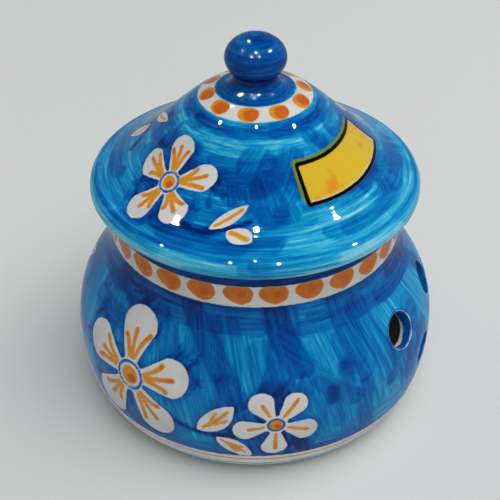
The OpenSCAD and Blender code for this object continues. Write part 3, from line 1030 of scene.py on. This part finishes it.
def paintLabel(sheet):
    midTurn = sum(label["turns"]) / 2
    halfX = math.radians(label["turns"][1] - midTurn) * label["radius"]
    halfY = (label["runs"][1] - label["runs"][0]) / 2
    x = np.radians(wrapTurn(sheet["turn"] - midTurn)) * label["radius"]
    y = sheet["run"] - sum(label["runs"]) / 2 - label["wave"] * np.sin(x / label["waveLong"])

    def patch(spec):
        return boxGap(x - spec["right"], y - spec["up"], halfX + spec["past"], halfY + spec["past"],
                      spec["corner"])

    sheet["label"] = boxGap(x, y, halfX, halfY, label["corner"])
    sheet["gold"] = patch(label["gold"])
    keepNearest(sheet, "white", patch(label["white"]))


def paintLid():
    d = lidPaint
    rng = np.random.default_rng(d["seed"])
    sheet = newSheet(lidObj, lidOutside, lidInside)
    outer, run = sheet["outer"], sheet["run"]
    for spec in d["strokes"]:
        brushOver(sheet, rng, spec)
    setTone(sheet, *d["tone"])
    onRim = run < d["rimRun"][-1]
    # on the rim's roll the lighter blue is partly a brushed band and partly a painted reflection
    sheet["wash"] += np.where(onRim, np.interp(run, d["rimRun"], d["rimBandAndSheen"]),
                              np.interp(sheet["r"], d["shadeR"], d["shade"]))
    # painted sheen: the brim's right side is laid in thinner blue
    pale = d["pale"]
    turnOff = np.abs(wrapTurn(sheet["turn"] - pale["turn"]))
    sheet["wash"] -= pale["lift"] * ease(*pale["turns"], turnOff) * ease(*pale["radii"], sheet["r"])
    for turn, atR, bend, stop, leaves in d["sprigs"]:
        paintSprig(sheet, rng, turn, runAt(lidOutside, 0, atR), bend, stop, leaves)
    for turn, atR, size, lines, first in d["blossoms"]:
        paintBlossom(sheet, rng, turn, runAt(lidOutside, 0, atR), size, lines, first)
    scratchEdges(sheet, rng, *d["scratches"])
    low, high = runAt(lidOutside, 0, d["collarOut"]), runAt(lidOutside, 0, d["collarIn"])
    keepNearest(sheet, "white", np.maximum(low - run, run - high))
    paintDots(sheet, rng, (low + high) / 2, d["dots"])
    paintLabel(sheet)
    keepNearest(sheet, "white", np.where(outer, farOff, wellIn))
    for mark in ("ochre", "rich", "dash", "label", "gold"):
        sheet[mark] = np.where(outer, sheet[mark], farOff)
    storeSheet(sheet, d["laneR"])


paintLid()
print("lid:", len(lidObj.data.polygons), "faces")

# knob: turning and painting

knobProfile = knobRuns()
knobObj = turnPiece("ball_knob", knobProfile, knob, knobGlaze)
knobPaint = {
    "seed": 4, "tone": (0.83, 0.1), "laneR": 12.0,
    # the top's lift is painted light on the ball's top
    "foot": {"rises": (8.0, 4.0), "lift": 0.03}, "top": {"tall": 5.0, "lift": 0.16},
    # the first band, deep under the ball, is painted shade on the stem; the other two are a lighter and a
    # deeper band of blue
    "stemShadeAndBands": ((7.0, 2.4, 0.3), (11.0, 1.8, -0.08), (14.5, 1.8, 0.06)),  # rise, half width and depth
    "strokes": ({"count": 40, "runs": (14, 48), "angle": 0, "stray": 10, "long": (10, 24), "wide": (1.6, 3.4),
                 "bend": 0.01, "load": (0.05, 0.22)},),
}
noInside = np.array([(0.0, 90.0), (1.0, 90.0)])  # the knob is solid, so its inside is a line far below it


def paintKnob():
    k = knobPaint
    rng = np.random.default_rng(k["seed"])
    sheet = newSheet(knobObj, knobProfile, noInside)
    rise = sheet["z"] - crownZ
    for spec in k["strokes"]:
        brushOver(sheet, rng, spec)
    setTone(sheet, *k["tone"])
    # painted shade on the stem under the ball, then a lighter and a deeper band
    for at, tall, depth in k["stemShadeAndBands"]:
        sheet["wash"] += depth * np.exp(-((rise - at) / tall) ** 2)
    sheet["wash"] -= k["foot"]["lift"] * ease(*k["foot"]["rises"], rise)
    # painted light: the ball's top is laid in thinner blue
    sheet["wash"] -= k["top"]["lift"] * ease(ballTop - k["top"]["tall"], ballTop, sheet["z"])
    storeSheet(sheet, k["laneR"])


paintKnob()
print("knob:", len(knobObj.data.polygons), "faces")

for obj, node, body, slot in ((jarObj, "jar_body", "jar", "jar_glaze"), (lidObj, "lid", "lid", "lid_glaze"),
                              (knobObj, "knob", "lid", "knob_glaze")):
    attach(obj, body)
    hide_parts(node)

# floor, light and camera; turns are from the photograph's camera, and lengths of the lamps are metres

stage = {"size": 5.0, "fade": (2.0, 0.9), "z": -0.1, "colour": srgb(210, 210, 208), "rough": 0.9}
camera = {"focalPixels": 1061.75, "imagePixels": 500, "sensor": 36.0, "elevation": 36.68, "distance": 474.0,
          "aimZ": 62.7, "aimRight": -2.2, "clipStart": 0.01}
room = {"high": (0.25, 0.26, 0.27, 1), "low": (1.6, 1.8, 2.0, 1), "backdrop": (2.5, 2.55, 2.53, 1),
        "rise": (-0.2, 1.0), "strength": 0.2}
bulbs = {"away": 1.7, "watts": 5000,  # watts for a lamp one metre across, less with the square of its size
         "spots": ((-92, 56, 0.064), (90, 52, 0.064), (1, 77, 0.05), (-156, 56, 0.058),
                   (-69, 45, 0.055), (-21, 54, 0.06), (20, 52, 0.055))}  # turn, elevation, size
softs = {"top": {"turn": 70, "elevation": 70, "away": 1.5, "size": 1.6, "watts": 9.0},
         "front": {"turn": 0, "elevation": 24, "away": 1.7, "size": 1.5, "watts": 4.2},
         "left": {"turn": -115, "elevation": 32, "away": 1.7, "size": 1.5, "watts": 3.0},
         "right": {"turn": 115, "elevation": 32, "away": 1.7, "size": 1.5, "watts": 5.0}}
sky = {"turn": 40, "elevation": 72, "away": 2.0, "spread": 60, "strength": 0.95}
lampAim = Vector((0, 0, 0.1))


def placeAround(obj, turn, elevation, distance, target):
    a, e = math.radians(viewTurn + turn), math.radians(elevation)
    away = Vector((math.sin(a) * math.cos(e), -math.cos(a) * math.cos(e), math.sin(e)))
    obj.location = target + away * distance
    obj.rotation_mode = "QUATERNION"
    obj.rotation_quaternion = (-away).to_track_quat("-Z", "Y")
    bpy.context.scene.collection.objects.link(obj)


def addFloor():
    half = stage["size"] / 2
    z = stage["z"] * mm  # a hair under the foot, so that the two faces don't share a plane
    floor = newObject("floor", [(-half, -half, z), (half, -half, z), (half, half, z), (-half, half, z)],
                      faces=[(0, 1, 2, 3)])
    paper = bpy.data.materials.new("floorPaper")
    paper.use_nodes = True
    tree = paper.node_tree
    shader = tree.nodes["Principled BSDF"]
    shader.inputs["Base Color"].default_value = stage["colour"]
    shader.inputs["Roughness"].default_value = stage["rough"]
    shader.inputs["Specular IOR Level"].default_value = 0.0  # matt, so that the bulbs throw no hard shadow
    place = addNode(tree, "ShaderNodeTexCoord").outputs["Object"]
    away = addNode(tree, "ShaderNodeVectorMath", {0: place}, operation="LENGTH").outputs["Value"]
    gone, full = stage["fade"]
    fade = addNode(tree, "ShaderNodeMapRange", {"Value": away, "From Min": gone, "From Max": full},
                   interpolation_type="SMOOTHSTEP")
    tree.links.new(fade.outputs["Result"], shader.inputs["Alpha"])  # the floor fades into the pale backdrop
    floor.data.materials.append(paper)
    floor.visible_glossy = False


def addLamp(name, turn, elevation, distance, size, watts, mirrored):
    data = bpy.data.lights.new(name, "AREA")
    data.shape = "DISK"
    data.size = size
    data.energy = watts
    lamp = bpy.data.objects.new(name, data)
    placeAround(lamp, turn, elevation, distance, lampAim)
    lamp.visible_glossy = mirrored
    lamp.visible_diffuse = not mirrored


def addSky():
    # an even light from far off, so that the floor stays pale to its edge
    data = bpy.data.lights.new("skySoft", "SUN")
    data.energy = sky["strength"]
    data.angle = math.radians(sky["spread"])
    lamp = bpy.data.objects.new("skySoft", data)
    placeAround(lamp, sky["turn"], sky["elevation"], sky["away"], lampAim)
    lamp.visible_glossy = False


def addRoom():
    world = bpy.data.worlds.new("room")
    bpy.context.scene.world = world
    world.use_nodes = True
    tree = world.node_tree
    low, high = room["rise"]

    def mix(factor, a, b):
        return addNode(tree, "ShaderNodeMix", {0: factor, 6: a, 7: b}, data_type="RGBA").outputs[2]

    way = addNode(tree, "ShaderNodeTexCoord").outputs["Generated"]
    up = addNode(tree, "ShaderNodeSeparateXYZ", {0: way}).outputs["Z"]
    rise = addNode(tree, "ShaderNodeMapRange", {"Value": up, "From Min": low, "From Max": high})
    seen = addNode(tree, "ShaderNodeLightPath").outputs["Is Camera Ray"]
    shade = mix(seen, mix(rise.outputs["Result"], room["low"], room["high"]), room["backdrop"])
    dome = tree.nodes["Background"]
    tree.links.new(shade, dome.inputs["Color"])
    dome.inputs["Strength"].default_value = room["strength"]


def addCamera():
    data = bpy.data.cameras.new("camera")
    data.sensor_width = camera["sensor"]
    data.lens = camera["focalPixels"] / camera["imagePixels"] * camera["sensor"]
    data.clip_start = camera["clipStart"]
    obj = bpy.data.objects.new("camera", data)
    a = math.radians(viewTurn)
    right = Vector((math.cos(a), math.sin(a), 0)) * camera["aimRight"] * mm
    target = right + Vector((0, 0, camera["aimZ"] * mm))
    placeAround(obj, 0, camera["elevation"], camera["distance"] * mm, target)
    bpy.context.scene.camera = obj


addFloor()
addRoom()
addSky()
for name, soft in softs.items():
    addLamp(name + "Soft", soft["turn"], soft["elevation"], soft["away"], soft["size"], soft["watts"], False)
for k, (turn, elevation, size) in enumerate(bulbs["spots"]):
    addLamp("bulb%d" % k, turn, elevation, bulbs["away"], size, bulbs["watts"] * size * size, True)
addCamera()
bpy.context.scene.view_settings.view_transform = "Standard"
bpy.context.scene.view_settings.look = "Medium High Contrast"
print("stage: floor, room,", len(softs) + len(bulbs["spots"]) + 1, "lamps and camera")
